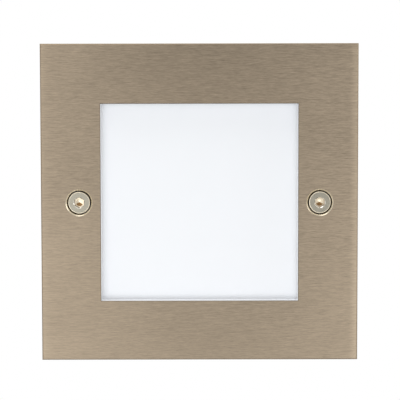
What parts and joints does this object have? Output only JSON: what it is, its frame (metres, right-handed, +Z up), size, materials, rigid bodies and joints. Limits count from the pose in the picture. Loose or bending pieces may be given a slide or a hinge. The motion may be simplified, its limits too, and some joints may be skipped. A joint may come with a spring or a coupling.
{
  "type": "step light",
  "caption": "Square recessed step light: brushed stainless faceplate with an opal window and socket screws, over a cast housing in a wall box.",
  "frame": {"origin": "centre of the window, on the wall's face, where the flange of the recess box bears", "axes": "+Z up, the light shines towards -Y, +Y into the wall, +X to the right seen from the front"},
  "size_m": [0.1, 0.0916, 0.1],
  "materials": {
    "faceplate_steel": "horizontally brushed stainless steel, warm grey",
    "screw_steel": "turned stainless steel",
    "small_screw_steel": "bright zinc-plated steel",
    "opal_acrylic": "smooth opal white acrylic, lit from behind",
    "silicone_white": "pale silicone rubber",
    "gasket_black": "black closed-cell rubber",
    "cast_aluminium": "die-cast aluminium, fine matt grain",
    "cover_aluminium": "dark grey powder coat",
    "tray_white": "white moulded plastic",
    "board_white": "white solder mask on an aluminium core",
    "board_green": "green solder mask on glass fibre",
    "chip_yellow": "phosphor silicone in a white frame",
    "connector_cream": "cream moulded plastic",
    "pad_grey": "grey thermal pad",
    "component_black": "black moulded resin",
    "ferrite_grey": "dark sintered ferrite",
    "tape_yellow": "yellow insulating tape over a winding",
    "capacitor_sleeve": "dark blue shrink sleeve",
    "film_blue": "blue dipped film capacitor",
    "terminal_grey": "light grey polyamide",
    "clamp_brass": "plain brass",
    "wire_brown": "brown insulation",
    "wire_blue": "blue insulation",
    "wire_earth": "green and yellow insulation",
    "wire_red": "red insulation",
    "wire_black": "black insulation",
    "gland_nickel": "nickel-plated brass",
    "box_black": "black polypropylene, fine moulded grain",
    "conduit_grey": "grey rigid plastic"
  },
  "bodies": {
    "recess": {"recess_box": "box_black", "threaded_inserts": "clamp_brass", "conduit_adaptor": "conduit_grey", "adaptor_locknut": "conduit_grey"},
    "light": {"faceplate": "faceplate_steel", "face_gasket": "gasket_black", "front_seal": "silicone_white", "diffuser": "opal_acrylic", "rear_seal": "silicone_white", "housing": "cast_aluminium", "bezel_screws": "small_screw_steel", "reflector_tray": "tray_white", "lamp_board": "board_white", "lamp_chips": "chip_yellow", "lamp_connector": "connector_cream", "lamp_board_screws": "small_screw_steel", "thermal_pad": "pad_grey", "lead_grommet": "gasket_black", "lamp_lead_positive": "wire_red", "lamp_lead_negative": "wire_black", "driver_board": "board_green", "driver_screws": "small_screw_steel", "transformer_core": "ferrite_grey", "transformer_winding": "tape_yellow", "transformer_bobbin": "component_black", "input_capacitor": "capacitor_sleeve", "output_capacitor": "capacitor_sleeve", "safety_capacitor": "film_blue", "filter_choke": "ferrite_grey", "rectifier": "component_black", "control_chip": "component_black", "terminal_block": "terminal_grey", "terminal_block_screws": "small_screw_steel", "terminal_clamps": "clamp_brass", "terminal_screws": "small_screw_steel", "earth_tag": "small_screw_steel", "earth_screw": "small_screw_steel", "live_wire": "wire_brown", "neutral_wire": "wire_blue", "earth_wire": "wire_earth", "rear_gasket": "gasket_black", "rear_cover": "cover_aluminium", "rear_cover_screws": "small_screw_steel", "gland_washer": "gasket_black", "gland_body": "gland_nickel", "gland_locknut": "gland_nickel", "gland_bush": "gasket_black"},
    "left_washer": {"left_screw_washer": "gasket_black"},
    "left_screw": {"left_face_screw": "screw_steel"},
    "right_washer": {"right_screw_washer": "gasket_black"},
    "right_screw": {"right_face_screw": "screw_steel"},
    "gland_ring": {"gland_slip_ring": "connector_cream"},
    "gland_cap": {"gland_nut": "gland_nickel"}
  },
  "joints": [
    {"name": "light_pull_out", "type": "slide", "parent": "recess", "child": "light", "axis": [0, -1, 0], "range_m": [0, 0.08]},
    {"name": "left_screw_travel", "type": "slide", "parent": "light", "child": "left_washer", "axis": [0, -1, 0], "range_m": [0, 0.0098]},
    {"name": "left_screw_turn", "type": "hinge", "parent": "left_washer", "child": "left_screw", "pos_m": [-0.038, -0.0025, 0], "axis": [0, -1, 0], "range_deg": [0, 5040.01]},
    {"name": "right_screw_travel", "type": "slide", "parent": "light", "child": "right_washer", "axis": [0, -1, 0], "range_m": [0, 0.0098]},
    {"name": "right_screw_turn", "type": "hinge", "parent": "right_washer", "child": "right_screw", "pos_m": [0.038, -0.0025, 0], "axis": [0, -1, 0], "range_deg": [0, 5040.01]},
    {"name": "gland_nut_travel", "type": "slide", "parent": "light", "child": "gland_ring", "axis": [0, 1, 0], "range_m": [0, 0.003]},
    {"name": "gland_nut_turn", "type": "hinge", "parent": "gland_ring", "child": "gland_cap", "pos_m": [0, 0.05778, -0.014], "axis": [0, 1, 0], "range_deg": [0, 720.01]}
  ],
  "couplings": [
    {"joint": "left_screw_turn", "follows": "left_screw_travel", "rad_per_m": 8976},
    {"joint": "right_screw_turn", "follows": "right_screw_travel", "rad_per_m": 8976},
    {"joint": "gland_nut_turn", "follows": "gland_nut_travel", "rad_per_m": 4188.8}
  ]
}
